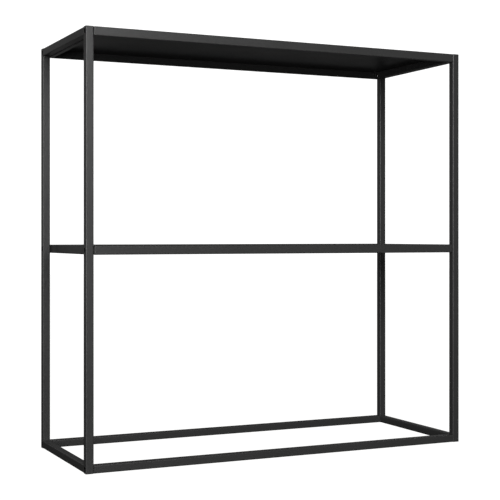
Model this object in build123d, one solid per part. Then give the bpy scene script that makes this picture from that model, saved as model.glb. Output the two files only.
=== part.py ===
from build123d import *
import math
import os

# A free-standing two-shelf display frame in millimetres. Width runs along X, depth along Y
# (front at -Y) and height along +Z. The origin is at the middle of the footprint, on the floor.

# Overall sizes
unit_width = 1060.0
unit_depth = 400.0
unit_height = 1060.0
middle_shelf_top = 540.0          # floor to the lower shelf's upper face

# Square steel tube
tube_side = 20.0
tube_wall = 1.5
tube_corner_radius = 3.0

# Folded sheet trays
sheet_thickness = 1.5
tray_height = 22.0
tray_lip_width = 10.0
tray_bend_radius = 2.2            # outside of the fold
lip_mitre_gap = 0.8               # slit between two lips at each corner
top_shelf_end_gap = 0.5           # tray to upright, filled by a washer at each screw
middle_shelf_end_gap = 1.5

# Screws, nuts and washers
screw_diameter = 6.0
screw_head_diameter = 10.5
screw_head_height = 3.3
screw_head_dome_radius = 1.6
socket_across_flats = 4.0
socket_depth = 2.0
screw_tip_projection = 1.0        # past the far face of the nut
screw_plug_engagement = 9.0       # thread taken up in a rail plug
screw_hole_clearance = 0.25       # round the screw in a plain hole
thread_clearance = 0.05           # round the screw in a tapped hole
access_hole_clearance = 0.75      # round the screw's head in the upright's outer wall
access_hole_chamfer = 0.3         # broken edge of that hole
nut_across_flats = 10.0
nut_height = 5.0
washer_diameter = 12.0

# Plugs in the tube ends
plug_clearance = 0.05
end_plug_height = 3.0
end_plug_edge_radius = 0.4
rail_plug_length = 16.0
rail_plug_edge_radius = 0.6

# Places worked out from the sizes above
tube_bore = tube_side - 2 * tube_wall
tube_bore_radius = tube_corner_radius - tube_wall
upright_x = (unit_width - tube_side) / 2
upright_y = (unit_depth - tube_side) / 2
inner_face_x = unit_width / 2 - tube_side          # the upright's face towards the shelves
head_seat_x = inner_face_x + tube_wall             # where a screw's head bears
rail_level = tube_side / 2
top_shelf_level = unit_height - tray_height / 2
middle_shelf_level = middle_shelf_top - tray_height / 2
tray_bend_inner_radius = tray_bend_radius - sheet_thickness
plain_hole_radius = screw_diameter / 2 + screw_hole_clearance
tapped_hole_radius = screw_diameter / 2 + thread_clearance
access_hole_radius = screw_head_diameter / 2 + access_hole_clearance
screw_levels = [rail_level, middle_shelf_level, top_shelf_level]

SIDES = {"left": -1, "right": 1}
ROWS = {"front": -1, "rear": 1}


def square_tube(length):
    """A length of square tube along +Z from the origin, centred on its section."""
    outer = RectangleRounded(tube_side, tube_side, tube_corner_radius)
    bore = RectangleRounded(tube_bore, tube_bore, tube_bore_radius)
    return extrude(outer - bore, length)


def along_y(solid, start):
    """Turn a solid that runs along +Z so that it runs along +Y from the given place."""
    return Pos(*start) * Rot(-90, 0, 0) * solid


def along_x(solid, start, direction=1):
    """Turn a solid that runs along +Z so that it runs along +X or -X from the given place."""
    return Pos(*start) * Rot(0, 90 * direction, 0) * solid


def access_hole():
    """A cutter from the tube's middle line out through one wall, wider at the broken edge."""
    straight = extrude(Circle(access_hole_radius), tube_side)
    mouth = Cone(access_hole_radius, access_hole_radius + access_hole_chamfer, access_hole_chamfer)
    return straight + Pos(0, 0, (tube_side - access_hole_chamfer) / 2) * mouth


def upright(side, row):
    """A full-height upright with a screw hole and an access hole at each fixing level."""
    body = Pos(side * upright_x, row * upright_y, 0) * square_tube(unit_height)
    screw_hole = extrude(Circle(plain_hole_radius), tube_side)
    for level in screw_levels:
        middle = (side * upright_x, row * upright_y, level)
        body -= along_x(screw_hole, middle, -side)
        body -= along_x(access_hole(), middle, side)
    return body


def end_rail(side, level):
    """A rail of an end frame, from the front upright to the rear one."""
    length = unit_depth - 2 * tube_side
    return along_y(square_tube(length), (side * upright_x, -length / 2, level))


def long_rail(row):
    """A bottom rail from the left frame to the right one."""
    length = 2 * inner_face_x
    return along_x(square_tube(length), (-length / 2, row * upright_y, rail_level))


def mitre_slits(length):
    """Cutters for the slits that part the lips at a tray's four corners."""
    reach = tray_lip_width - tray_bend_radius
    middle = (tray_lip_width + tray_bend_radius) / 2
    slit = Box(reach * math.sqrt(2) + lip_mitre_gap, lip_mitre_gap, 2 * sheet_thickness)
    slits = []
    for side in SIDES.values():
        for row in ROWS.values():
            corner = Pos(side * (length / 2 - middle), row * (unit_depth / 2 - middle), -tray_height / 2)
            slits.append(corner * Rot(0, 0, 45 * side * row) * slit)
    return slits


def tray(level, end_gap):
    """A shelf folded down on four sides, with a lip turned in along its lower edge."""
    length = 2 * (inner_face_x - end_gap)
    outer = fillet(Box(length, unit_depth, tray_height).edges(), tray_bend_radius)
    hollow_size = [size - 2 * sheet_thickness for size in (length, unit_depth, tray_height)]
    hollow = fillet(Box(*hollow_size).edges(), tray_bend_inner_radius)
    mouth = Box(length - 2 * tray_lip_width, unit_depth - 2 * tray_lip_width, tray_height / 2)
    shell = outer - hollow - Pos(0, 0, -tray_height / 2) * mouth
    shell -= mitre_slits(length)
    hole = extrude(Circle(plain_hole_radius), length)
    for row in ROWS.values():
        shell -= along_x(hole, (-length / 2, row * upright_y, 0))
    return Pos(0, 0, level) * shell


def screw(length):
    """A button-head screw along -Z from its seat at the origin, its head above."""
    head = extrude(Circle(screw_head_diameter / 2), screw_head_height)
    rim = head.edges().group_by(Axis.Z)[-1]
    head = fillet(rim, screw_head_dome_radius)
    socket = extrude(RegularPolygon(socket_across_flats / 2, 6, major_radius=False), socket_depth)
    head -= Pos(0, 0, screw_head_height - socket_depth) * socket
    return head + extrude(Circle(screw_diameter / 2), -length)


def hex_nut():
    """A plain nut along +Z from the origin."""
    blank = RegularPolygon(nut_across_flats / 2, 6, major_radius=False)
    return extrude(blank - Circle(tapped_hole_radius), nut_height)


def washer(thickness):
    """A flat washer along +Z from the origin."""
    return extrude(Circle(washer_diameter / 2) - Circle(plain_hole_radius), thickness)


def four_corners(piece, x, level):
    """Copies of a piece at the four uprights, with its own +Z pointing outwards."""
    copies = []
    for side in SIDES.values():
        for row in ROWS.values():
            copies.append(along_x(piece, (side * x, row * upright_y, level), side))
    return copies


def plug_blank(length):
    """A block that fills the tube's bore, along +Z from the origin."""
    side = tube_bore - 2 * plug_clearance
    return extrude(RectangleRounded(side, side, tube_bore_radius - plug_clearance), length)


def end_plug(side, row, top):
    """A plug that closes an upright's end, flush with it and softened round its face."""
    plug = plug_blank(end_plug_height)
    plug = fillet(plug.edges().group_by(Axis.Z)[0], end_plug_edge_radius)
    if top:
        return Pos(side * upright_x, row * upright_y, unit_height) * Rot(180, 0, 0) * plug
    return Pos(side * upright_x, row * upright_y, 0) * plug


def rail_plug(side, row):
    """A tapped block in a bottom rail's end, flush with the cut tube."""
    plug = plug_blank(rail_plug_length)
    plug = chamfer(plug.edges().group_by(Axis.Z)[-1], rail_plug_edge_radius)
    plug -= extrude(Circle(tapped_hole_radius), rail_plug_length)
    return along_x(plug, (side * inner_face_x, row * upright_y, rail_level), -side)


def save(name, shape):
    """Write one sub-part to parts/NAME.step."""
    shape.label = name
    export_step(shape, os.path.join("parts", name + ".step"))


def save_group(name, solids):
    """Write several separate solids as one sub-part."""
    save(name, Compound(label=name, children=solids))


def save_frames():
    """The two end frames with their plugs."""
    for side_name, side in SIDES.items():
        for row_name, row in ROWS.items():
            save(f"{side_name}_{row_name}_upright", upright(side, row))
            save(f"{side_name}_{row_name}_top_plug", end_plug(side, row, top=True))
            save(f"{side_name}_{row_name}_bottom_plug", end_plug(side, row, top=False))
        save(f"{side_name}_top_end_rail", end_rail(side, unit_height - tube_side / 2))
        save(f"{side_name}_bottom_end_rail", end_rail(side, rail_level))


def save_bottom_rails():
    """The front and rear bottom rails with the plugs and screws at their ends."""
    for row_name, row in ROWS.items():
        save(f"{row_name}_bottom_rail", long_rail(row))
        for side_name, side in SIDES.items():
            save(f"{row_name}_rail_{side_name}_plug", rail_plug(side, row))
    rail_screw = screw(tube_wall + screw_plug_engagement)
    save_group("bottom_rail_screws", four_corners(rail_screw, head_seat_x, rail_level))


def save_shelf(name, level, end_gap):
    """One shelf tray with the washers, screws and nuts at its four corners."""
    save(name, tray(level, end_gap))
    flange_x = inner_face_x - end_gap - sheet_thickness
    length = head_seat_x - flange_x + nut_height + screw_tip_projection
    save_group(f"{name}_screws", four_corners(screw(length), head_seat_x, level))
    save_group(f"{name}_washers", four_corners(washer(end_gap), inner_face_x - end_gap, level))
    save_group(f"{name}_nuts", four_corners(hex_nut(), flange_x - nut_height, level))


os.makedirs("parts", exist_ok=True)
save_frames()
save_bottom_rails()
save_shelf("top_shelf", top_shelf_level, top_shelf_end_gap)
save_shelf("middle_shelf", middle_shelf_level, middle_shelf_end_gap)
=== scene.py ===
"""Looks of a free-standing display frame: black powder-coated tube and two sheet shelves.

Everything is in metres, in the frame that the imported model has: width along X, depth along Y with
the front at -Y, height along +Z, and the origin on the floor in the middle of the footprint.
"""

import logging
import math
from dataclasses import dataclass, field
from enum import Enum
from typing import Any, TypeAlias

import bmesh
import bpy
from mathutils import Euler, Matrix, Vector


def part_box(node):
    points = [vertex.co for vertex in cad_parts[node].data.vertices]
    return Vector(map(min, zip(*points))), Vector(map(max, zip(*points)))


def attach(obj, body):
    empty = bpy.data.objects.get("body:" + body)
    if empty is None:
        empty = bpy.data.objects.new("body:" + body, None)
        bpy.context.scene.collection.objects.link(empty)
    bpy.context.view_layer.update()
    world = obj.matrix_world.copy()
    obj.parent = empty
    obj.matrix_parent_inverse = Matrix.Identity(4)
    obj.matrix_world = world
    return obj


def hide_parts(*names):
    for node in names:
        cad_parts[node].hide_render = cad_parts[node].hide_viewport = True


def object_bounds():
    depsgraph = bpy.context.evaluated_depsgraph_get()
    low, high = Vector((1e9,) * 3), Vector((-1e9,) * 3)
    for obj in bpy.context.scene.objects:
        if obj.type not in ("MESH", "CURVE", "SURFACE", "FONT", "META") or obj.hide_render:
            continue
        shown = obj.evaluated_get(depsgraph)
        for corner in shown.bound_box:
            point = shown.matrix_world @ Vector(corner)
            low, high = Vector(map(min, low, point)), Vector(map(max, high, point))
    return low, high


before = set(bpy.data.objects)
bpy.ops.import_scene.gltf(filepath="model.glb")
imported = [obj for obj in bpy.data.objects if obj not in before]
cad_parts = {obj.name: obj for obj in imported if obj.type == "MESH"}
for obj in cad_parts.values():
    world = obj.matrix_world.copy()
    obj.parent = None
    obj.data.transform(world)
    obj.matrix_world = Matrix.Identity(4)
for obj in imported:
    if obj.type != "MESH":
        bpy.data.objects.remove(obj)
CAD_LOW, CAD_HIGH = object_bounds()

log = logging.getLogger("display_frame")

Material: TypeAlias = bpy.types.Material
Socket: TypeAlias = bpy.types.NodeSocket
Length: TypeAlias = Socket | float          # an input that takes a socket or a plain number
Inputs: TypeAlias = dict[int | str, Any]    # what a node's inputs get, by their number or name

MM = 0.001
BODY = "root"


class Word(Enum):
    """A choice whose name is also a word in the names of nodes."""

    @property
    def label(self) -> str:
        """The word that node names use."""
        return self.name.lower()


class Side(Word):
    """The two ends of the frame, as the sign of their X."""

    LEFT = -1
    RIGHT = 1


class Row(Word):
    """The two rows of uprights, as the sign of their Y."""

    FRONT = -1
    REAR = 1


class Level(Word):
    """The two levels of the end rails, as the sign that points away from the other one."""

    TOP = 1
    BOTTOM = -1


class Slot(Enum):
    """The record's material slots."""

    FRAME = "frame_steel"
    END_PLUG = "end_plug_plastic"
    SCREW = "screw_steel"
    NUT = "nut_steel"
    WASHER = "washer_nylon"


class Turn(Enum):
    """How a shape built along its own +Z is turned into place, as angles about X, Y and Z."""

    NONE = (0.0, 0.0, 0.0)
    HALF_ABOUT_Z = (0.0, 0.0, math.pi)
    TO_LEFT = (0.0, -math.pi / 2, 0.0)
    TO_RIGHT = (0.0, math.pi / 2, 0.0)
    TO_REAR = (-math.pi / 2, 0.0, 0.0)

    @staticmethod
    def outwards(side: Side) -> "Turn":
        """The turn that points a shape away from the middle of the frame."""
        return Turn.TO_LEFT if side is Side.LEFT else Turn.TO_RIGHT


@dataclass(frozen=True)
class Place:
    """Where one copy of a shape stands, in metres, and its angles about X, Y and Z."""

    position: Vector
    angles: tuple[float, float, float]


# ---------------------------------------------------------------------------------------------
# Small helpers


def linear(colour: str) -> tuple[float, float, float, float]:
    """Turn an sRGB colour into the linear values that a shader takes.

    Args:
        colour: the colour as "#rrggbb".

    Returns:
        Linear red, green and blue, and an alpha of one.
    """
    channels = [int(colour[i:i + 2], 16) / 255 for i in (1, 3, 5)]
    curve = [c / 12.92 if c <= 0.04045 else ((c + 0.055) / 1.055) ** 2.4 for c in channels]
    return curve[0], curve[1], curve[2], 1.0


def add_node(tree: bpy.types.NodeTree, kind: str, inputs: Inputs | None = None,
             **settings: Any) -> bpy.types.Node:
    """Add a node, give it its settings, and set or link its inputs.

    Args:
        tree: the node tree that takes the node.
        kind: the name of the node's class.
        inputs: for each input, by name or number, a value, an output socket or a list of sockets.
        settings: the node's own properties.

    Returns:
        The new node.
    """
    node = tree.nodes.new(kind)
    for name, value in settings.items():
        setattr(node, name, value)
    for name, value in (inputs or {}).items():
        for item in value if isinstance(value, list) else [value]:
            if isinstance(item, Socket):
                tree.links.new(item, node.inputs[name])
            else:
                node.inputs[name].default_value = item
    return node


def middle(node: str) -> Vector:
    """The middle of a CAD node's box."""
    low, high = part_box(node)
    return (low + high) / 2


def keep(piece: bpy.types.Object, slot: Slot, *replaced: str) -> None:
    """Hand a finished piece over to the frame.

    Args:
        piece: the mesh object, in place.
        slot: not used.
        replaced: the CAD nodes that it stands for.
    """
    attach(piece, BODY)
    if replaced:
        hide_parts(*replaced)
    log.info("%s: %d faces", piece.name, len(piece.data.polygons))


def dress(node: str, material: Material) -> None:
    """Give a CAD node that stays in view its finish.

    Args:
        node: the CAD node's name.
        material: its finish.
    """
    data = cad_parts[node].data
    data.materials.clear()
    data.materials.append(material)
    log.info("%s: dressed in %s", node, material.name)


def blank_material(name: str) -> Material:
    """Make a material with an empty node tree.

    Args:
        name: the material's name.

    Returns:
        The new material.
    """
    material = bpy.data.materials.new(name)
    material.use_nodes = True
    material.node_tree.nodes.clear()
    return material


# ---------------------------------------------------------------------------------------------
# Finishes


@dataclass(frozen=True)
class PowderCoat:
    """Satin black polyester powder coat, sprayed on steel and baked.

    To the eye it is a soft charcoal black. The baked powder levels out to a faint orange peel,
    which breaks up reflections a little, and the sheen varies slowly over a long face.
    """

    name: str = "powder_coated_steel_satin_black"
    colour: str = "#3c3c3c"
    colour_deep: str = "#353535"
    roughness: float = 0.38
    roughness_spread: float = 0.03
    ior: float = 1.5
    peel_size_mm: float = 3.0       # real peel is about 0.8 mm, drawn coarser so that it shows
    peel_height_mm: float = 0.015
    peel_strength: float = 0.35
    grain_size_mm: float = 1.2      # powder grain is about 0.05 mm, drawn coarser so that it shows
    grain_share: float = 0.5        # of the grain in the colour; the clouds have the rest
    cloud_size_mm: float = 160.0    # slow change in sheen along a face
    cloud_low: float = 0.3          # noise at the glossiest places
    cloud_high: float = 0.7         # noise at the dullest places

    def material(self) -> Material:
        """Build the material.

        Returns:
            The finish, ready to be given to a piece.
        """
        material = blank_material(self.name)
        tree = material.node_tree
        place = add_node(tree, "ShaderNodeTexCoord").outputs["Object"]
        peel = add_node(tree, "ShaderNodeTexNoise",
                        {"Vector": place, "Scale": 1 / (self.peel_size_mm * MM), "Detail": 2.0,
                         "Roughness": 0.45}).outputs["Fac"]
        grain = add_node(tree, "ShaderNodeTexNoise",
                         {"Vector": place, "Scale": 1 / (self.grain_size_mm * MM),
                          "Detail": 1.0}).outputs["Fac"]
        clouds = add_node(tree, "ShaderNodeTexNoise",
                          {"Vector": place, "Scale": 1 / (self.cloud_size_mm * MM),
                           "Detail": 3.0}).outputs["Fac"]
        speckled = add_node(tree, "ShaderNodeMix",
                            {"Factor": self.grain_share, 2: clouds, 3: grain}).outputs[0]
        colour = add_node(tree, "ShaderNodeMix",
                          {"Factor": speckled, "A": linear(self.colour_deep),
                           "B": linear(self.colour)}, data_type="RGBA").outputs["Result"]
        sheen = add_node(tree, "ShaderNodeMapRange",
                         {"Value": clouds, "From Min": self.cloud_low, "From Max": self.cloud_high,
                          "To Min": self.roughness - self.roughness_spread,
                          "To Max": self.roughness + self.roughness_spread}).outputs["Result"]
        bump = add_node(tree, "ShaderNodeBump",
                        {"Height": peel, "Strength": self.peel_strength,
                         "Distance": self.peel_height_mm * MM}).outputs["Normal"]
        shader = add_node(tree, "ShaderNodeBsdfPrincipled",
                          {"Base Color": colour, "Roughness": sheen, "Normal": bump,
                           "IOR": self.ior})
        add_node(tree, "ShaderNodeOutputMaterial", {"Surface": shader.outputs["BSDF"]})
        return material


@dataclass(frozen=True)
class BlackOxide:
    """Cold-forged screw steel, blackened in a hot oxide bath and oiled.

    To the eye it is a blue-black metal with a dull gleam, browner and duller where the oil has
    dried off.
    """

    name: str = "black_oxide_forged_steel"
    colour: str = "#3c3c40"
    colour_dry: str = "#35322f"
    roughness: float = 0.34
    roughness_dry: float = 0.5
    patch_size_mm: float = 3.0      # dried oil patches
    patch_low: float = 0.4          # noise where the oil begins to be dry
    patch_high: float = 0.65        # noise where it is quite dry
    scale_size_mm: float = 0.5      # forging texture, really about 0.1 mm, drawn coarser to show
    scale_height_mm: float = 0.01
    scale_strength: float = 0.4

    def material(self) -> Material:
        """Build the material.

        Returns:
            The finish, ready to be given to a piece.
        """
        material = blank_material(self.name)
        tree = material.node_tree
        place = add_node(tree, "ShaderNodeTexCoord").outputs["Object"]
        patches = add_node(tree, "ShaderNodeTexNoise",
                           {"Vector": place, "Scale": 1 / (self.patch_size_mm * MM),
                            "Detail": 3.0}).outputs["Fac"]
        dry = add_node(tree, "ShaderNodeMapRange",
                       {"Value": patches, "From Min": self.patch_low,
                        "From Max": self.patch_high}).outputs["Result"]
        colour = add_node(tree, "ShaderNodeMix",
                          {"Factor": dry, "A": linear(self.colour),
                           "B": linear(self.colour_dry)}, data_type="RGBA").outputs["Result"]
        rough = add_node(tree, "ShaderNodeMapRange",
                         {"Value": dry, "To Min": self.roughness,
                          "To Max": self.roughness_dry}).outputs["Result"]
        scale = add_node(tree, "ShaderNodeTexNoise",
                         {"Vector": place, "Scale": 1 / (self.scale_size_mm * MM),
                          "Detail": 2.0}).outputs["Fac"]
        bump = add_node(tree, "ShaderNodeBump",
                        {"Height": scale, "Strength": self.scale_strength,
                         "Distance": self.scale_height_mm * MM}).outputs["Normal"]
        shader = add_node(tree, "ShaderNodeBsdfPrincipled",
                          {"Base Color": colour, "Roughness": rough, "Normal": bump,
                           "Metallic": 1.0})
        add_node(tree, "ShaderNodeOutputMaterial", {"Surface": shader.outputs["BSDF"]})
        return material


@dataclass(frozen=True)
class ZincPlate:
    """Drawn and pressed steel with bright zinc plate.

    To the eye it is a cool light grey metal, slightly warmer in patches, with the faint streaks of
    the bar that it was cut from.
    """

    name: str = "zinc_plated_steel"
    colour: str = "#b9bdc2"
    colour_warm: str = "#bdb9ae"
    roughness: float = 0.3
    roughness_streak: float = 0.42
    patch_size_mm: float = 4.0      # passivation tints
    streak_size_mm: float = 0.6     # drawing lines, really about 0.1 mm, drawn coarser to show
    streak_stretch: float = 8.0     # how much longer a streak is than it is wide

    def material(self) -> Material:
        """Build the material.

        Returns:
            The finish, ready to be given to a piece.
        """
        material = blank_material(self.name)
        tree = material.node_tree
        place = add_node(tree, "ShaderNodeTexCoord").outputs["Object"]
        patches = add_node(tree, "ShaderNodeTexNoise",
                           {"Vector": place, "Scale": 1 / (self.patch_size_mm * MM),
                            "Detail": 2.0}).outputs["Fac"]
        colour = add_node(tree, "ShaderNodeMix",
                          {"Factor": patches, "A": linear(self.colour),
                           "B": linear(self.colour_warm)}, data_type="RGBA").outputs["Result"]
        stretch = (1 / self.streak_stretch, 1.0, 1.0)
        along_bar = add_node(tree, "ShaderNodeMapping",
                             {"Vector": place, "Scale": stretch}).outputs["Vector"]
        streaks = add_node(tree, "ShaderNodeTexNoise",
                           {"Vector": along_bar, "Detail": 2.0,
                            "Scale": 1 / (self.streak_size_mm * MM)}).outputs["Fac"]
        rough = add_node(tree, "ShaderNodeMapRange",
                         {"Value": streaks, "To Min": self.roughness,
                          "To Max": self.roughness_streak}).outputs["Result"]
        shader = add_node(tree, "ShaderNodeBsdfPrincipled",
                          {"Base Color": colour, "Roughness": rough, "Metallic": 1.0})
        add_node(tree, "ShaderNodeOutputMaterial", {"Surface": shader.outputs["BSDF"]})
        return material


@dataclass(frozen=True)
class MouldedPlastic:
    """Black plastic, injection-moulded in a lightly spark-eroded tool.

    To the eye it is a dull even black, with a fine pebbled surface that spreads the light.
    """

    name: str
    colour: str = "#303030"
    colour_deep: str = "#2a2a2a"
    roughness: float = 0.52
    ior: float = 1.49
    pebble_size_mm: float = 0.8     # real texture is about 0.1 mm, drawn coarser so that it shows
    pebble_height_mm: float = 0.02
    pebble_strength: float = 0.5
    flow_size_mm: float = 9.0       # faint flow marks

    def material(self) -> Material:
        """Build the material.

        Returns:
            The finish, ready to be given to a piece.
        """
        material = blank_material(self.name)
        tree = material.node_tree
        place = add_node(tree, "ShaderNodeTexCoord").outputs["Object"]
        flow = add_node(tree, "ShaderNodeTexNoise",
                        {"Vector": place, "Scale": 1 / (self.flow_size_mm * MM),
                         "Detail": 2.0}).outputs["Fac"]
        colour = add_node(tree, "ShaderNodeMix",
                          {"Factor": flow, "A": linear(self.colour_deep),
                           "B": linear(self.colour)}, data_type="RGBA").outputs["Result"]
        pebbles = add_node(tree, "ShaderNodeTexVoronoi",
                           {"Vector": place,
                            "Scale": 1 / (self.pebble_size_mm * MM)}).outputs["Distance"]
        bump = add_node(tree, "ShaderNodeBump",
                        {"Height": pebbles, "Strength": self.pebble_strength,
                         "Distance": self.pebble_height_mm * MM}).outputs["Normal"]
        shader = add_node(tree, "ShaderNodeBsdfPrincipled",
                          {"Base Color": colour, "Roughness": self.roughness, "Normal": bump,
                           "IOR": self.ior})
        add_node(tree, "ShaderNodeOutputMaterial", {"Surface": shader.outputs["BSDF"]})
        return material


@dataclass(frozen=True)
class PhosphatedSteel:
    """Bare phosphated steel inside the tubes, which the sprayed powder does not reach, with its
    colour darkened to near-black as painted shade. The walls of the holes take it too.

    The steel itself is a dull dark grey. The near-black paints in the shade of the bores and the
    holes, so that almost no light comes back out of them.
    """

    name: str = "phosphated_steel_tube_inside"
    # near-black: painted shade for the bores and holes, darker than the bare steel itself
    colour: str = "#0f0f0f"
    colour_pale: str = "#161616"
    roughness: float = 0.8
    ior: float = 1.25
    crystal_size_mm: float = 1.5    # real crystals are about 0.02 mm, drawn coarser to show

    def material(self) -> Material:
        """Build the material.

        Returns:
            The finish, ready to be given to a piece.
        """
        material = blank_material(self.name)
        tree = material.node_tree
        place = add_node(tree, "ShaderNodeTexCoord").outputs["Object"]
        crystals = add_node(tree, "ShaderNodeTexNoise",
                            {"Vector": place, "Scale": 1 / (self.crystal_size_mm * MM),
                             "Detail": 2.0}).outputs["Fac"]
        colour = add_node(tree, "ShaderNodeMix",
                          {"Factor": crystals, "A": linear(self.colour),
                           "B": linear(self.colour_pale)}, data_type="RGBA").outputs["Result"]
        shader = add_node(tree, "ShaderNodeBsdfPrincipled",
                          {"Base Color": colour, "Roughness": self.roughness, "IOR": self.ior})
        add_node(tree, "ShaderNodeOutputMaterial", {"Surface": shader.outputs["BSDF"]})
        return material


# ---------------------------------------------------------------------------------------------
# Shapes made by node trees


class ShapeTree:
    """A geometry node tree with named sizes, which makes plain mesh pieces."""

    smooth_limit: float = math.radians(32)      # edges sharper than this stay hard
    spin_radius: float = 1 * MM                 # of the path that round shapes are spun on
    weld_distance: float = 0.001 * MM           # points closer than this become one

    def __init__(self, name: str) -> None:
        """Start the tree, with the places of the copies and their finish as its first inputs.

        Args:
            name: the tree's name.
        """
        self.tree = bpy.data.node_groups.new(name, "GeometryNodeTree")
        self.tree.is_modifier = True
        self.values: dict[str, Any] = {}
        sockets = self.tree.interface
        sockets.new_socket("Shape", in_out="OUTPUT", socket_type="NodeSocketGeometry")
        sockets.new_socket("Places", in_out="INPUT", socket_type="NodeSocketGeometry")
        finish = sockets.new_socket("Finish", in_out="INPUT", socket_type="NodeSocketMaterial")
        self.finish_input = finish.identifier
        self.lining_input: str | None = None

    def add(self, kind: str, inputs: Inputs | None = None, **settings: Any) -> bpy.types.Node:
        """Add a node to this tree."""
        return add_node(self.tree, kind, inputs, **settings)

    def size(self, name: str, mm: float) -> Socket:
        """Add a named size.

        Args:
            name: what the size is.
            mm: its value in millimetres.

        Returns:
            A socket that gives it in metres.
        """
        socket = self.tree.interface.new_socket(name, in_out="INPUT",
                                                socket_type="NodeSocketFloat")
        self.values[socket.identifier] = mm * MM
        return self.add("NodeGroupInput").outputs[name]

    def scaled(self, length: Socket, share: float) -> Socket:
        """A share of a length."""
        return self.add("ShaderNodeMath", {0: length, 1: share}, operation="MULTIPLY").outputs[0]

    def moved(self, shape: Socket, x: Length = 0.0, y: Length = 0.0, z: Length = 0.0,
              turn: Turn = Turn.NONE) -> Socket:
        """Turn a shape about the origin and then move it.

        Args:
            shape: the geometry.
            x: the distance along X.
            y: the distance along Y.
            z: the distance along Z.
            turn: how it is turned.

        Returns:
            The geometry in its new place.
        """
        by = self.add("ShaderNodeCombineXYZ", {"X": x, "Y": y, "Z": z}).outputs[0]
        return self.add("GeometryNodeTransform",
                        {"Geometry": shape, "Translation": by,
                         "Rotation": Euler(turn.value)}).outputs[0]

    def rectangle(self, width: Socket, height: Socket, rounding: dict[int, Socket], steps: int,
                  closed: bool = True) -> Socket:
        """Draw a rectangle with rounded corners, centred on the origin.

        Args:
            width: its size along X.
            height: its size along Y.
            rounding: for each corner that is rounded, its radius. Corners 0 to 3 run from +X+Y
                through -X+Y and -X-Y to +X-Y.
            steps: points on each rounding; one makes a chamfer.
            closed: whether the side at +X, between corners 3 and 0, is there.

        Returns:
            The outline curve.
        """
        curve = self.add("GeometryNodeCurvePrimitiveQuadrilateral",
                         {"Width": width, "Height": height}).outputs[0]
        curve = self.add("GeometryNodeSetSplineCyclic", {0: curve, "Cyclic": closed}).outputs[0]
        index = self.add("GeometryNodeInputIndex").outputs[0]
        radii = None
        for corner, radius in rounding.items():
            here = self.add("FunctionNodeCompare", {2: index, 3: corner},
                            data_type="INT", operation="EQUAL").outputs[0]
            own = self.add("ShaderNodeMath", {0: here, 1: radius}, operation="MULTIPLY").outputs[0]
            if radii is None:
                radii = own
            else:
                radii = self.add("ShaderNodeMath", {0: radii, 1: own}, operation="ADD").outputs[0]
        return self.add("GeometryNodeFilletCurve",
                        {"Curve": curve, "Count": steps, "Radius": radii}, mode="POLY").outputs[0]

    def swept(self, path: Socket, outline: Socket) -> Socket:
        """Carry an outline round a closed path, and close the seams and poles."""
        mesh = self.add("GeometryNodeCurveToMesh", {"Curve": path, "Profile Curve": outline})
        return self.welded(mesh.outputs[0])

    def spun(self, outline: Socket, facets: int, x: Length, z: Length) -> Socket:
        """Spin an outline about the Z axis.

        Args:
            outline: the outline, with its X across the axis and its Y along it. It has to lie at
                -X of the axis once it is moved.
            facets: flats round the shape.
            x: how far the outline is moved across the axis first.
            z: the same along the axis.

        Returns:
            The round solid.
        """
        path = self.add("GeometryNodeCurvePrimitiveCircle",
                        {"Resolution": facets, "Radius": self.spin_radius}).outputs[0]
        placed = self.moved(outline, x=x, y=z)
        flipped = self.add("GeometryNodeTransform",
                           {"Geometry": placed, "Translation": (-self.spin_radius, 0.0, 0.0),
                            "Rotation": Euler((math.pi, 0.0, 0.0))}).outputs[0]
        return self.swept(path, flipped)

    def hexagon(self, across_flats: Socket, depth: Socket, z: Socket) -> Socket:
        """Make a six-sided prism about the Z axis.

        Args:
            across_flats: its size across two opposite sides.
            depth: its size along the axis.
            z: the height of its middle.

        Returns:
            The prism.
        """
        radius = self.scaled(across_flats, 1 / math.sqrt(3))
        prism = self.add("GeometryNodeMeshCylinder",
                         {"Vertices": 6, "Radius": radius, "Depth": depth}).outputs[0]
        return self.moved(prism, z=z)

    def cut(self, body: Socket, tools: list[Socket]) -> Socket:
        """Take the tools away from a body."""
        rest = self.add("GeometryNodeMeshBoolean", {"Mesh 1": body, "Mesh 2": tools},
                        operation="DIFFERENCE", solver="EXACT").outputs[0]
        return self.welded(rest)

    def welded(self, mesh: Socket) -> Socket:
        """Join points that lie on each other."""
        return self.add("GeometryNodeMergeByDistance",
                        {"Geometry": mesh, "Distance": self.weld_distance}).outputs[0]

    def lined(self, shape: Socket, x: Socket, y: Socket, z: Socket) -> Socket:
        """Give the lining, a near-black painted shade, to the faces whose middles lie in a box
        round the origin.

        Args:
            shape: the geometry.
            x: half the box's size along X.
            y: the same along Y.
            z: the same along Z.

        Returns:
            The geometry, with its other faces as they were.
        """
        if self.lining_input is None:
            lining = self.tree.interface.new_socket("Lining", in_out="INPUT",
                                                    socket_type="NodeSocketMaterial")
            self.lining_input = lining.identifier
        given = self.add("NodeGroupInput")
        place = self.add("GeometryNodeInputPosition").outputs[0]
        away = self.add("ShaderNodeVectorMath", {0: place}, operation="ABSOLUTE").outputs[0]
        away = self.add("ShaderNodeSeparateXYZ", {0: away}).outputs
        inside = [self.add("FunctionNodeCompare", {0: distance, 1: limit},
                           data_type="FLOAT", operation="LESS_THAN").outputs[0]
                  for distance, limit in zip(away, (x, y, z))]
        across = self.add("FunctionNodeBooleanMath", {0: inside[0], 1: inside[1]}).outputs[0]
        within = self.add("FunctionNodeBooleanMath", {0: across, 1: inside[2]}).outputs[0]
        return self.add("GeometryNodeSetMaterial",
                        {0: shape, "Selection": within,
                         "Material": given.outputs["Lining"]}).outputs[0]

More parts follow.
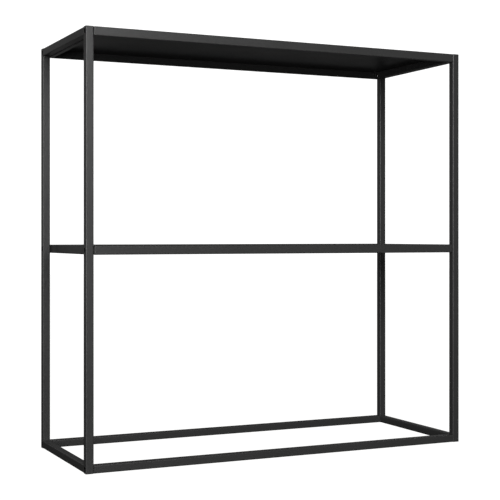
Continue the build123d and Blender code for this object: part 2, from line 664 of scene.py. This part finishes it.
    def close(self, shape: Socket, spread: float = 0.0, seed: int = 0) -> None:
        """Shade the shape, copy it to its places and end the tree.

        Args:
            shape: the shape, about its own origin.
            spread: the most that a copy is turned about its own Z, in radians.
            seed: fixes the random turns.
        """
        given = self.add("NodeGroupInput")
        faces = self.add("GeometryNodeSetShadeSmooth", {0: shape}, domain="FACE").outputs[0]
        angle = self.add("GeometryNodeInputMeshEdgeAngle").outputs[0]
        soft = self.add("FunctionNodeCompare", {0: angle, 1: self.smooth_limit},
                        data_type="FLOAT", operation="LESS_THAN").outputs[0]
        shaded = self.add("GeometryNodeSetShadeSmooth", {0: faces, "Shade Smooth": soft},
                          domain="EDGE").outputs[0]
        angles = self.add("GeometryNodeInputNamedAttribute", {"Name": "angles"},
                          data_type="FLOAT_VECTOR").outputs[0]
        aimed = self.add("FunctionNodeEulerToRotation", {0: angles}).outputs[0]
        chance = self.add("FunctionNodeRandomValue", {2: -spread, 3: spread, "Seed": seed},
                          data_type="FLOAT").outputs[1]
        twist = self.add("FunctionNodeAxisAngleToRotation", {"Angle": chance}).outputs[0]
        rotation = self.add("FunctionNodeRotateRotation", {0: aimed, 1: twist},
                            rotation_space="LOCAL").outputs[0]
        copies = self.add("GeometryNodeInstanceOnPoints",
                          {"Points": given.outputs["Places"], "Instance": shaded,
                           "Rotation": rotation}).outputs[0]
        solid = self.add("GeometryNodeRealizeInstances", {0: copies}).outputs[0]
        bare: Socket | bool = True
        if self.lining_input:
            lined = self.add("GeometryNodeMaterialSelection",
                             {"Material": given.outputs["Lining"]}).outputs[0]
            bare = self.add("FunctionNodeBooleanMath", {0: lined}, operation="NOT").outputs[0]
        finished = self.add("GeometryNodeSetMaterial",
                            {0: solid, "Selection": bare,
                             "Material": given.outputs["Finish"]}).outputs[0]
        self.add("NodeGroupOutput", {"Shape": finished})

    def piece(self, name: str, places: list[Place], finish: Material,
              lining: Material | None = None) -> bpy.types.Object:
        """Run the tree at the given places and return the result as a plain mesh object.

        Args:
            name: the piece's name.
            places: one for each copy.
            finish: the material that it gets.
            lining: the material of its lined faces, if it has any.

        Returns:
            The finished object, at the origin.
        """
        points = bpy.data.meshes.new(name + "_places")
        points.from_pydata([place.position for place in places], [], [])
        angles = points.attributes.new("angles", "FLOAT_VECTOR", "POINT")
        for item, place in zip(angles.data, places):
            item.vector = place.angles
        source = bpy.data.objects.new(name + "_source", points)
        bpy.context.scene.collection.objects.link(source)
        modifier = source.modifiers.new("shape", "NODES")
        modifier.node_group = self.tree
        modifier[self.finish_input] = finish
        if self.lining_input:
            modifier[self.lining_input] = lining
        for identifier, value in self.values.items():
            modifier[identifier] = value
        weighted = source.modifiers.new("even_faces", "WEIGHTED_NORMAL")
        weighted.keep_sharp = True
        graph = bpy.context.evaluated_depsgraph_get()
        mesh = bpy.data.meshes.new_from_object(source.evaluated_get(graph), depsgraph=graph)
        bpy.data.objects.remove(source)
        mesh.name = name
        mesh.materials.pop(index=0)         # the empty slot that the bare shape began with
        if "angles" in mesh.attributes:
            mesh.attributes.remove(mesh.attributes["angles"])
        piece = bpy.data.objects.new(name, mesh)
        bpy.context.scene.collection.objects.link(piece)
        return piece


# ---------------------------------------------------------------------------------------------
# Tube and fasteners


@dataclass(frozen=True)
class SquareTube:
    """Cold-rolled square tube, cut to length, its edges lightly broken. Sizes in millimetres."""

    side: float = 20.0
    wall: float = 1.5
    corner_radius: float = 3.0
    edge_break: float = 0.3
    screw_hole: float = 6.5
    access_hole: float = 12.0
    access_chamfer: float = 0.3
    lining_share: float = 0.8       # of the wall, where the near-black painted shade of the inside begins
    corner_steps: int = 10
    break_steps: int = 2
    hole_facets: int = 48

    def shape(self, name: str, length: float, fixings: tuple[float, ...] = ()) -> ShapeTree:
        """Build the tree for one length of tube, along its own Z and centred on the origin.

        Args:
            name: the tree's name.
            length: the tube's length.
            fixings: heights, from the tube's middle, of its screw holes. Each has an access hole
                opposite, on the side at +X.

        Returns:
            The finished tree.
        """
        shape = ShapeTree(name)
        wall = shape.size("Wall", self.wall)
        side = shape.size("Side at Mid Wall", self.side - self.wall)
        radius = shape.size("Corner Radius at Mid Wall", self.corner_radius - self.wall / 2)
        run = shape.size("Length", length)
        broken = shape.size("Edge Break", self.edge_break)
        path = shape.rectangle(side, side, dict.fromkeys(range(4), radius), self.corner_steps)
        section = shape.rectangle(wall, run, dict.fromkeys(range(4), broken), self.break_steps)
        body = shape.swept(path, section)
        if fixings:
            body = shape.cut(body, self.hole_cutters(shape, fixings))
        # The bore's inside and the walls of the screw and access holes take the lining: near-black
        # painted shade for the dark inside the tube and its holes.
        reach = self.side / 2
        bore = shape.size("Lining to Bore", reach - self.lining_share * self.wall)
        deep = shape.size("Lining to Hole Mouth", reach - self.access_chamfer)
        hole = shape.size("Lining Round Hole", self.access_hole / 2 + self.access_chamfer)
        ends = shape.size("Lining to Ends", length / 2 - 2 * self.edge_break)
        body = shape.lined(body, bore, bore, ends)
        body = shape.lined(body, deep, hole, ends)
        shape.close(body)
        return shape

    def hole_cutters(self, shape: ShapeTree, fixings: tuple[float, ...]) -> list[Socket]:
        """Make the cutters for the holes at each fixing height.

        Args:
            shape: the tree that they belong to.
            fixings: heights from the tube's middle.

        Returns:
            A cutter for each screw hole, each access hole and each access hole's broken edge.
        """
        reach = shape.size("Side", self.side)
        screw_radius = shape.size("Screw Hole Radius", self.screw_hole / 2)
        access_radius = shape.size("Access Hole Radius", self.access_hole / 2)
        mouth_depth = shape.size("Access Mouth Depth", 2 * self.access_chamfer)
        mouth_radius = shape.size("Access Mouth Radius",
                                  self.access_hole / 2 + 2 * self.access_chamfer)
        screw_tool = shape.add("GeometryNodeMeshCylinder", {
            "Vertices": self.hole_facets, "Radius": screw_radius, "Depth": reach}).outputs[0]
        access_tool = shape.add("GeometryNodeMeshCylinder", {
            "Vertices": self.hole_facets, "Radius": access_radius, "Depth": reach}).outputs[0]
        mouth_tool = shape.add("GeometryNodeMeshCone", {
            "Vertices": self.hole_facets, "Radius Top": mouth_radius,
            "Radius Bottom": access_radius, "Depth": mouth_depth}).outputs[0]
        mouth_tool = shape.moved(mouth_tool, z=shape.scaled(mouth_depth, -0.5))
        cutters = []
        for count, height in enumerate(fixings, 1):
            level = shape.size(f"Fixing Height {count}", height)
            for tool, share in ((screw_tool, -0.5), (access_tool, 0.5), (mouth_tool, 0.5)):
                cutters.append(shape.moved(tool, x=shape.scaled(reach, share), z=level,
                                           turn=Turn.TO_RIGHT))
        return cutters


@dataclass(frozen=True)
class ButtonScrew:
    """A button-head screw with a hexagon socket and a cut thread. Sizes in millimetres."""

    head_diameter: float = 10.5
    head_height: float = 3.3
    dome_radius: float = 1.6
    socket_across_flats: float = 4.0
    socket_depth: float = 2.0
    thread_diameter: float = 6.0
    core_diameter: float = 4.9
    pitch: float = 1.0
    point_chamfer: float = 0.6
    ridge_share: float = 0.8        # of the ridge, in the thread's three-sided section's radius
    facets: int = 40
    dome_steps: int = 8
    steps_per_turn: int = 24
    seed: int = 5                   # of the turns that the screws came to rest at

    def shape(self, name: str, length: float) -> ShapeTree:
        """Build the tree for a screw that seats at the origin, its head at +Z.

        Args:
            name: the tree's name.
            length: the shank's length under the head.

        Returns:
            The finished tree.
        """
        shape = ShapeTree(name)
        parts = [self.head(shape), self.core(shape, length), self.thread(shape, length)]
        solid = shape.add("GeometryNodeJoinGeometry", {0: parts}).outputs[0]
        shape.close(solid, spread=math.pi, seed=self.seed)
        return shape

    def head(self, shape: ShapeTree) -> Socket:
        """Make the domed head with its socket.

        Args:
            shape: the tree that it belongs to.

        Returns:
            The head.
        """
        radius = shape.size("Head Radius", self.head_diameter / 2)
        height = shape.size("Head Height", self.head_height)
        dome = shape.size("Dome Radius", self.dome_radius)
        outline = shape.rectangle(radius, height, {1: dome}, self.dome_steps, closed=False)
        head = shape.spun(outline, self.facets,
                          x=shape.scaled(radius, -0.5), z=shape.scaled(height, 0.5))
        flats = shape.size("Socket Across Flats", self.socket_across_flats)
        depth = shape.size("Socket Depth", self.socket_depth)
        return shape.cut(head, [shape.hexagon(flats, shape.scaled(depth, 2.0), height)])

    def core(self, shape: ShapeTree, length: float) -> Socket:
        """Make the shank inside the thread.

        Args:
            shape: the tree that it belongs to.
            length: the shank's length.

        Returns:
            The shank.
        """
        radius = shape.size("Core Radius", self.core_diameter / 2)
        run = shape.size("Shank Length", length)
        point = shape.size("Point Chamfer", self.point_chamfer)
        outline = shape.rectangle(radius, run, {2: point}, steps=1, closed=False)
        return shape.spun(outline, self.facets,
                          x=shape.scaled(radius, -0.5), z=shape.scaled(run, -0.5))

    def thread(self, shape: ShapeTree, length: float) -> Socket:
        """Make the ridge of the thread, which runs down the shank as a helix.

        Args:
            shape: the tree that it belongs to.
            length: the shank's length.

        Returns:
            The ridge, sunk a little in the core.
        """
        ridge = (self.thread_diameter - self.core_diameter) / 2
        section_radius = ridge * self.ridge_share
        winding = shape.size("Thread Winding Radius", self.thread_diameter / 2 - section_radius)
        rise = length - self.pitch - self.point_chamfer
        climb = shape.size("Threaded Length", rise)
        helix = shape.add("GeometryNodeCurveSpiral",
                          {"Resolution": self.steps_per_turn, "Rotations": rise / self.pitch,
                           "Start Radius": winding, "End Radius": winding,
                           "Height": climb}).outputs[0]
        level = shape.add("GeometryNodeSetCurveNormal", {0: helix}, mode="Z_UP").outputs[0]
        section = shape.add("GeometryNodeCurvePrimitiveCircle",
                            {"Resolution": 3, "Radius": section_radius * MM}).outputs[0]
        ridge_mesh = shape.add("GeometryNodeCurveToMesh",
                               {"Curve": level, "Profile Curve": section,
                                "Fill Caps": True}).outputs[0]
        start = shape.size("Thread Start", -length + self.point_chamfer + self.pitch / 2)
        return shape.moved(ridge_mesh, z=start)


@dataclass(frozen=True)
class HexNut:
    """A plain hexagon nut, chamfered on both faces. Sizes in millimetres."""

    across_flats: float = 10.0
    height: float = 5.0
    bore: float = 6.1
    bore_chamfer: float = 0.4
    corner_chamfer: float = 0.8
    facets: int = 48
    seed: int = 11                  # of the turns that the nuts are welded on at

    def shape(self, name: str) -> ShapeTree:
        """Build the tree for a nut along +Z from the origin.

        Args:
            name: the tree's name.

        Returns:
            The finished tree.
        """
        shape = ShapeTree(name)
        flats = shape.size("Across Flats", self.across_flats)
        height = shape.size("Height", self.height)
        half_height = shape.scaled(height, 0.5)
        bore = self.bore / 2
        reach = self.across_flats / math.sqrt(3)
        ring_wall = shape.size("Bore to Corner", reach - bore)
        chamfer = shape.size("Corner Chamfer", self.corner_chamfer)
        bore_chamfer = shape.size("Bore Chamfer", self.bore_chamfer)
        chamfers = {0: bore_chamfer, 1: chamfer, 2: chamfer, 3: bore_chamfer}
        outline = shape.rectangle(ring_wall, height, chamfers, steps=1)
        across = shape.size("Middle of Outline", -(bore + reach) / 2)
        ring = shape.spun(outline, self.facets, x=across, z=half_height)
        block = shape.hexagon(flats, shape.scaled(height, 2.0), half_height)
        nut = shape.add("GeometryNodeMeshBoolean", {"Mesh 2": [ring, block]},
                        operation="INTERSECT", solver="EXACT").outputs[0]
        shape.close(shape.welded(nut), spread=math.pi, seed=self.seed)
        return shape


@dataclass(frozen=True)
class Washer:
    """A moulded flat washer with soft edges. Sizes in millimetres."""

    thickness: float
    diameter: float = 12.0
    bore: float = 6.5
    edge_radius: float = 0.15
    edge_steps: int = 3
    facets: int = 48

    def shape(self, name: str) -> ShapeTree:
        """Build the tree for a washer along +Z from the origin.

        Args:
            name: the tree's name.

        Returns:
            The finished tree.
        """
        shape = ShapeTree(name)
        width = shape.size("Ring Width", (self.diameter - self.bore) / 2)
        thickness = shape.size("Thickness", self.thickness)
        edge = shape.size("Edge Radius", self.edge_radius)
        outline = shape.rectangle(width, thickness, dict.fromkeys(range(4), edge), self.edge_steps)
        across = shape.size("Middle of Ring", -(self.diameter + self.bore) / 4)
        shape.close(shape.spun(outline, self.facets, x=across, z=shape.scaled(thickness, 0.5)))
        return shape


@dataclass(frozen=True)
class WeldBead:
    """The weld round an end rail, ground flush where the tubes' faces meet. Sizes in millimetres.

    The bead lies round the rail's outline, in the groove that the upright's rounded edge leaves.
    Its +Y side is flush, and its -Y side is the inner corner between rail and upright, left as
    welded.
    """

    tube_side: float = 20.0
    inset: float = 0.9              # the bead's middle under the tubes' faces
    corner_radius: float = 3.4
    bead_radius: float = 1.75
    ripple_pitch: float = 1.6
    ripple_height: float = 0.16
    flush_height: float = 0.08      # what grinding leaves above the tubes
    into_groove: float = 1.35       # towards the upright, at the sides
    into_corner: float = -0.5       # away from it, at the inner corner
    into_flush: float = 0.2
    fade_length: float = 3.0        # over which one of these shifts passes into the next
    point_spacing: float = 0.4
    corner_steps: int = 6
    section_facets: int = 14

    def shape(self, name: str) -> ShapeTree:
        """Build the tree for one bead in the XY plane, with the upright at +Z.

        Args:
            name: the tree's name.

        Returns:
            The finished tree.
        """
        shape = ShapeTree(name)
        side = shape.size("Side at Bead", self.tube_side - 2 * self.inset)
        radius = shape.size("Corner Radius", self.corner_radius)
        spacing = shape.size("Point Spacing", self.point_spacing)
        thickness = shape.size("Bead Radius", self.bead_radius)
        outline = shape.rectangle(side, side, dict.fromkeys(range(4), radius), self.corner_steps)
        path = shape.add("GeometryNodeResampleCurve", {"Curve": outline, "Length": spacing},
                         mode="LENGTH").outputs[0]
        section = shape.add("GeometryNodeCurvePrimitiveCircle",
                            {"Resolution": self.section_facets, "Radius": thickness}).outputs[0]
        bead = shape.add("GeometryNodeCurveToMesh",
                         {"Curve": self.follow_groove(shape, path), "Profile Curve": section,
                          "Scale": self.ripples(shape)}).outputs[0]
        shape.close(self.ground(shape, bead))
        return shape

    def follow_groove(self, shape: ShapeTree, path: Socket) -> Socket:
        """Shift the bead's path towards the upright at the sides, and off it at the inner corner.

        Args:
            shape: the tree that it belongs to.
            path: the rail's outline.

        Returns:
            The shifted path.
        """
        place = shape.add("GeometryNodeInputPosition").outputs[0]
        height = shape.add("ShaderNodeSeparateXYZ", {0: place}).outputs["Y"]
        edge = (self.tube_side / 2 - self.inset) * MM
        turn = edge - self.fade_length * MM
        low = shape.add("ShaderNodeMapRange",
                        {"Value": height, "From Min": -edge, "From Max": -turn,
                         "To Min": self.into_corner * MM,
                         "To Max": self.into_groove * MM}).outputs[0]
        high = shape.add("ShaderNodeMapRange",
                         {"Value": height, "From Min": turn, "From Max": edge,
                          "To Min": self.into_groove * MM,
                          "To Max": self.into_flush * MM}).outputs[0]
        shift = shape.add("ShaderNodeMath", {0: low, 1: high}, operation="MINIMUM").outputs[0]
        by = shape.add("ShaderNodeCombineXYZ", {"Z": shift}).outputs[0]
        return shape.add("GeometryNodeSetPosition", {"Geometry": path, "Offset": by}).outputs[0]

    def ripples(self, shape: ShapeTree) -> Socket:
        """Work out the bead's thickness along its path: one ripple for each pool of metal.

        Args:
            shape: the tree that it belongs to.

        Returns:
            A share of the bead's radius.
        """
        along = shape.add("GeometryNodeSplineParameter").outputs["Length"]
        phase = shape.scaled(along, 2 * math.pi / (self.ripple_pitch * MM))
        wave = shape.add("ShaderNodeMath", {0: phase}, operation="SINE").outputs[0]
        share = self.ripple_height / self.bead_radius
        return shape.add("ShaderNodeMath", {0: wave, 1: share, 2: 1.0},
                         operation="MULTIPLY_ADD").outputs[0]

    def ground(self, shape: ShapeTree, bead: Socket) -> Socket:
        """Grind the bead off at the two sides and at the flush face.

        Args:
            shape: the tree that it belongs to.
            bead: the bead as welded.

        Returns:
            The bead as ground.
        """
        place = shape.add("GeometryNodeInputPosition").outputs[0]
        parts = shape.add("ShaderNodeSeparateXYZ", {0: place})
        limit = shape.size("Ground Height", self.tube_side / 2 + self.flush_height)
        lowest = shape.scaled(limit, -1.0)
        across = shape.add("ShaderNodeClamp",
                           {"Value": parts.outputs["X"], "Min": lowest, "Max": limit})
        up = shape.add("ShaderNodeMath", {0: parts.outputs["Y"], 1: limit}, operation="MINIMUM")
        to = shape.add("ShaderNodeCombineXYZ",
                       {"X": across.outputs[0], "Y": up.outputs[0], "Z": parts.outputs["Z"]})
        return shape.add("GeometryNodeSetPosition",
                         {"Geometry": bead, "Position": to.outputs[0]}).outputs[0]


@dataclass(frozen=True)
class EndPlug:
    """A moulded plug that closes a tube's end. Sizes in millimetres."""

    side: float = 16.9
    corner_radius: float = 1.45
    height: float = 3.0
    edge_radius: float = 0.4
    edge_steps: int = 4
    corner_steps: int = 5
    tightest_radius: float = 0.2    # of the corners near the middle
    dish_side: float = 9.0          # shallow dish round the moulding gate
    dish_depth: float = 0.25

    def ring(self, data: bmesh.types.BMesh, inset: float,
             depth: float) -> list[bmesh.types.BMVert]:
        """Add the points of one rounded square to the mesh.

        Args:
            data: the mesh.
            inset: how far the square is inside the plug's sides.
            depth: how far it is below the plug's face.

        Returns:
            The points, in order.
        """
        radius = max(self.corner_radius - inset, self.tightest_radius)
        reach = self.side / 2 - inset - radius
        points = []
        for corner in range(4):
            for step in range(self.corner_steps + 1):
                angle = math.pi / 2 * (corner + step / self.corner_steps)
                signs = Vector((1 if corner in (0, 3) else -1, 1 if corner < 2 else -1))
                flat = signs * reach + Vector((math.cos(angle), math.sin(angle))) * radius
                points.append(data.verts.new(Vector((flat.x, flat.y, -depth)) * MM))
        return points

    def mesh(self, name: str, place: Matrix) -> bpy.types.Mesh:
        """Build the plug below its face and put it in place.

        Args:
            name: the mesh's name.
            place: where the middle of its face goes, and how it is turned.

        Returns:
            The mesh.
        """
        data = bmesh.new()
        steps = [math.pi / 2 * step / self.edge_steps for step in range(self.edge_steps + 1)]
        rounded = [(self.edge_radius * (1 - math.cos(a)), self.edge_radius * (1 - math.sin(a)))
                   for a in steps]
        dish = (self.side - self.dish_side) / 2
        levels = [(0.0, self.height), *rounded,
                  (dish - self.dish_depth, 0.0), (dish, self.dish_depth)]
        rings = [self.ring(data, inset, depth) for inset, depth in levels]
        for outer, inner in zip(rings, rings[1:]):
            for i in range(len(outer)):
                j = (i + 1) % len(outer)
                data.faces.new((outer[i], outer[j], inner[j], inner[i]))
        data.faces.new(rings[-1])
        data.faces.new(reversed(rings[0]))
        data.normal_update()
        for face in data.faces:
            face.smooth = True
        for edge in data.edges:
            edge.smooth = edge.calc_face_angle(0.0) < ShapeTree.smooth_limit
        data.transform(place)
        mesh = bpy.data.meshes.new(name)
        data.to_mesh(mesh)
        data.free()
        return mesh


# ---------------------------------------------------------------------------------------------
# Sub-assemblies


def place_tube(shape: ShapeTree, node: str, turn: Turn, coat: Material, lining: Material) -> None:
    """Make a length of tube where its CAD node is, and let it stand for that node.

    Args:
        shape: the tube's tree.
        node: the CAD node.
        turn: how the tube is turned into place.
        coat: the finish outside.
        lining: the near-black painted shade inside.
    """
    piece = shape.piece(node + "_tube", [Place(middle(node), turn.value)], coat, lining)
    keep(piece, Slot.FRAME, node)


@dataclass
class EndFrame:
    """One welded end frame: two uprights, two end rails, four weld beads and four end plugs."""

    side: Side
    coat: Material
    lining: Material
    plastic: Material
    tube: SquareTube = SquareTube()
    bead: WeldBead = WeldBead()
    plug: EndPlug = EndPlug()

    def node(self, *words: str) -> str:
        """Give the name of one of this frame's CAD nodes."""
        return "_".join((self.side.label, *words))

    def build(self) -> None:
        """Build the whole frame."""
        self.uprights()
        self.end_rails()
        self.beads()
        self.end_plugs()

    def uprights(self) -> None:
        """Build the two uprights, each with its screw and access holes."""
        low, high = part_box(self.node("front", "upright"))
        centre = (low.z + high.z) / 2
        groups = ("bottom_rail_screws", "middle_shelf_screws", "top_shelf_screws")
        heights = tuple((middle(group).z - centre) / MM for group in groups)
        shape = self.tube.shape(self.node("upright_shape"), (high.z - low.z) / MM, heights)
        turn = Turn.NONE if self.side is Side.RIGHT else Turn.HALF_ABOUT_Z
        for row in Row:
            place_tube(shape, self.node(row.label, "upright"), turn, self.coat, self.lining)

    def end_rails(self) -> None:
        """Build the top and bottom end rails."""
        low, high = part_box(self.node("top_end_rail"))
        shape = self.tube.shape(self.node("end_rail_shape"), (high.y - low.y) / MM)
        for level in Level:
            node = self.node(level.label, "end_rail")
            place_tube(shape, node, Turn.TO_REAR, self.coat, self.lining)

    def beads(self) -> None:
        """Build the weld beads at the four ends of the end rails."""
        shape = self.bead.shape(self.node("weld_bead_shape"))
        places = []
        for level in Level:
            rail = middle(self.node(level.label, "end_rail"))
            low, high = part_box(self.node(level.label, "end_rail"))
            for row in Row:
                joint = Vector((rail.x, low.y if row is Row.FRONT else high.y, rail.z))
                turn = Matrix.Rotation(math.pi / 2, 3, "X")
                if row is Row.REAR:
                    turn = Matrix.Rotation(math.pi, 3, "Z") @ turn
                if level is Level.BOTTOM:
                    turn = Matrix.Rotation(math.pi, 3, "Y") @ turn
                places.append(Place(joint, tuple(turn.to_euler())))
        keep(shape.piece(self.node("frame_weld_beads"), places, self.coat), Slot.FRAME)

    def end_plugs(self) -> None:
        """Build the plugs in the uprights' top and bottom ends."""
        for row in Row:
            for level in Level:
                node = self.node(row.label, level.label, "plug")
                low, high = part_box(node)
                centre = middle(node)
                centre.z = high.z if level is Level.TOP else low.z
                place = Matrix.Translation(centre)
                if level is Level.BOTTOM:
                    place @= Matrix.Rotation(math.pi, 4, "X")
                mesh = self.plug.mesh(node + "_moulding", place)
                mesh.materials.append(self.plastic)
                piece = bpy.data.objects.new(mesh.name, mesh)
                bpy.context.scene.collection.objects.link(piece)
                keep(piece, Slot.END_PLUG, node)


def four_corners(group: str, x: float) -> list[Place]:
    """Work out places at the four uprights, pointing outwards.

    Args:
        group: the CAD node whose four solids are there, for the height.
        x: the distance of each place from the middle of the frame, along X.

    Returns:
        The four places.
    """
    reach = middle("right_rear_upright").y
    height = middle(group).z
    return [Place(Vector((side.value * x, row.value * reach, height)), Turn.outwards(side).value)
            for side in Side for row in Row]


@dataclass
class BottomRails:
    """The two bottom rails and the screws and plugs that hold them."""

    coat: Material
    lining: Material
    screw_finish: Material
    plug_finish: Material
    tube: SquareTube = SquareTube()
    screw: ButtonScrew = ButtonScrew()
    screw_length: float = 10.5      # in millimetres

    def build(self) -> None:
        """Build the rails and dress their plugs."""
        low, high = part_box("front_bottom_rail")
        shape = self.tube.shape("bottom_rail_shape", (high.x - low.x) / MM)
        for row in Row:
            place_tube(shape, row.label + "_bottom_rail", Turn.TO_RIGHT, self.coat, self.lining)
            for side in Side:
                dress(f"{row.label}_rail_{side.label}_plug", self.plug_finish)
        group = "bottom_rail_screws"
        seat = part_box(group)[1].x - self.screw.head_height * MM
        screws = self.screw.shape("bottom_rail_screw_shape", self.screw_length)
        piece = screws.piece("bottom_rail_button_screws", four_corners(group, seat),
                             self.screw_finish)
        keep(piece, Slot.SCREW, group)


@dataclass
class Shelf:
    """One shelf tray with its screws, washers and nuts."""

    name: str
    coat: Material
    screw_finish: Material
    washer_finish: Material
    nut_finish: Material
    screw: ButtonScrew = ButtonScrew()
    nut: HexNut = HexNut()
    tip_projection: float = 1.0     # of a screw past its nut, in millimetres

    def build(self) -> None:
        """Dress the tray and build its fasteners."""
        dress(self.name, self.coat)
        screws = self.name + "_screws"
        nuts = self.name + "_nuts"
        washers = self.name + "_washers"
        nut_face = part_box(nuts)[1].x
        washer_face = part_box(washers)[1].x
        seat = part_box(screws)[1].x - self.screw.head_height * MM
        gap = (washer_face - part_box(self.name)[1].x) / MM
        length = (seat - nut_face) / MM + self.nut.height + self.tip_projection
        screw_shape = self.screw.shape(screws + "_shape", length)
        piece = screw_shape.piece(self.name + "_button_screws", four_corners(screws, seat),
                                  self.screw_finish)
        keep(piece, Slot.SCREW, screws)
        nut_shape = self.nut.shape(nuts + "_shape")
        nut_seat = nut_face - self.nut.height * MM
        piece = nut_shape.piece(self.name + "_hex_nuts", four_corners(nuts, nut_seat),
                                self.nut_finish)
        keep(piece, Slot.NUT, nuts)
        washer_shape = Washer(thickness=gap).shape(washers + "_shape")
        washer_seat = washer_face - gap * MM
        piece = washer_shape.piece(self.name + "_flat_washers", four_corners(washers, washer_seat),
                                   self.washer_finish)
        keep(piece, Slot.WASHER, washers)


# ---------------------------------------------------------------------------------------------
# Studio


@dataclass
class Viewpoint:
    """The camera, just above the middle shelf and round to the left of the front."""

    place_mm: tuple[float, float, float] = (-1366.5, -2894.6, 562.6)
    turn_degrees: float = 25.133
    lens_mm: float = 85.315
    sensor_mm: float = 36.0
    drop: float = 0.0278            # of the view's middle below eye level, as a share of its width
    far_limit: float = 60.0         # in metres

    def build(self) -> None:
        """Make the camera and give it to the scene."""
        data = bpy.data.cameras.new("viewpoint")
        data.lens = self.lens_mm
        data.sensor_width = self.sensor_mm
        data.shift_y = -self.drop
        data.clip_end = self.far_limit
        camera = bpy.data.objects.new("viewpoint", data)
        camera.location = Vector(self.place_mm) * MM
        camera.rotation_euler = (math.radians(90), 0, -math.radians(self.turn_degrees))
        bpy.context.scene.collection.objects.link(camera)
        bpy.context.scene.camera = camera


@dataclass
class SoftBox:
    """A square studio light that stands round the object and points at its middle."""

    name: str
    bearing: float                  # degrees round from straight in front, positive to the right
    rise: float                     # degrees above the middle of the object
    power: float                    # in watts
    size: float = 2.4               # in metres
    distance: float = 4.6           # in metres

    def build(self) -> None:
        """Make the light and add it to the scene."""
        data = bpy.data.lights.new(self.name, "AREA")
        data.shape = "SQUARE"
        data.size = self.size
        data.energy = self.power
        light = bpy.data.objects.new(self.name, data)
        bearing, rise = math.radians(self.bearing), math.radians(self.rise)
        level = math.cos(rise)
        away = Vector((math.sin(bearing) * level, -math.cos(bearing) * level, math.sin(rise)))
        light.location = (CAD_LOW + CAD_HIGH) / 2 + away * self.distance
        light.rotation_euler = away.to_track_quat("Z", "Y").to_euler()
        bpy.context.scene.collection.objects.link(light)


@dataclass
class Studio:
    """A pale floor that runs out to a white surround, and the soft boxes."""

    floor_radius: float = 14.0
    floor_colour: str = "#f4f4f3"
    glow: float = 1.2               # brightness of the floor and the surround in view
    surround: float = 0.022         # brightness of the surround as a light
    boxes: list[SoftBox] = field(default_factory=lambda: [
        SoftBox("key_box", bearing=-10, rise=20, power=106.0),
        SoftBox("left_box", bearing=-45, rise=8, power=89.5),
        SoftBox("right_box", bearing=25, rise=10, power=4.2, size=4.0),
        SoftBox("rear_left_box", bearing=-170, rise=10, power=3.8),
        SoftBox("rear_box", bearing=180, rise=0, power=1.6),
        SoftBox("rear_right_box", bearing=150, rise=5, power=1.2),
        SoftBox("side_box", bearing=115, rise=10, power=80.0),
    ])

    def floor(self) -> None:
        """Make the floor, one large flat sheet that glows evenly and lights nothing."""
        mesh = bpy.data.meshes.new("floor")
        r = self.floor_radius
        mesh.from_pydata([(-r, -r, 0), (r, -r, 0), (r, r, 0), (-r, r, 0)], [], [(0, 1, 2, 3)])
        floor = bpy.data.objects.new("floor", mesh)
        material = blank_material("pale_floor")
        tree = material.node_tree
        glow = add_node(tree, "ShaderNodeEmission",
                        {"Color": linear(self.floor_colour), "Strength": self.glow})
        add_node(tree, "ShaderNodeOutputMaterial", {"Surface": glow.outputs["Emission"]})
        mesh.materials.append(material)
        bpy.context.scene.collection.objects.link(floor)
        floor.visible_diffuse = False
        floor.visible_glossy = False

    def build(self) -> None:
        """Make the floor, the surround and the lights.

        The surround is white where it is in view, and lights the object only a little.
        """
        self.floor()
        world = bpy.data.worlds.new("surround")
        world.use_nodes = True
        tree = world.node_tree
        tree.nodes.clear()
        seen = add_node(tree, "ShaderNodeLightPath").outputs["Is Camera Ray"]
        white = (1.0, 1.0, 1.0, 1.0)
        soft, bright = (add_node(tree, "ShaderNodeBackground",
                                 {"Color": white, "Strength": strength})
                        for strength in (self.surround, self.glow))
        mixed = add_node(tree, "ShaderNodeMixShader",
                         {0: seen, 1: soft.outputs[0], 2: bright.outputs[0]})
        add_node(tree, "ShaderNodeOutputWorld", {"Surface": mixed.outputs[0]})
        bpy.context.scene.world = world
        for box in self.boxes:
            box.build()


def main() -> None:
    """Build the studio and the object, sub-assembly by sub-assembly."""
    logging.basicConfig(level=logging.INFO, format="%(name)s: %(message)s")
    bpy.context.scene.view_settings.view_transform = "Standard"
    Viewpoint().build()
    Studio().build()
    coat = PowderCoat().material()
    # near-black painted shade for the insides of the tubes and the walls of their holes
    lining = PhosphatedSteel().material()
    oxide = BlackOxide().material()
    zinc = ZincPlate().material()
    nylon = MouldedPlastic("moulded_nylon_black", roughness=0.45, ior=1.53).material()
    plastic = MouldedPlastic("moulded_polyethylene_black").material()
    for side in Side:
        EndFrame(side, coat, lining, plastic).build()
    BottomRails(coat, lining, oxide, zinc).build()
    for name in ("top_shelf", "middle_shelf"):
        Shelf(name, coat, oxide, nylon, zinc).build()
    log.info("sizes written")


if __name__ == "__main__":
    main()
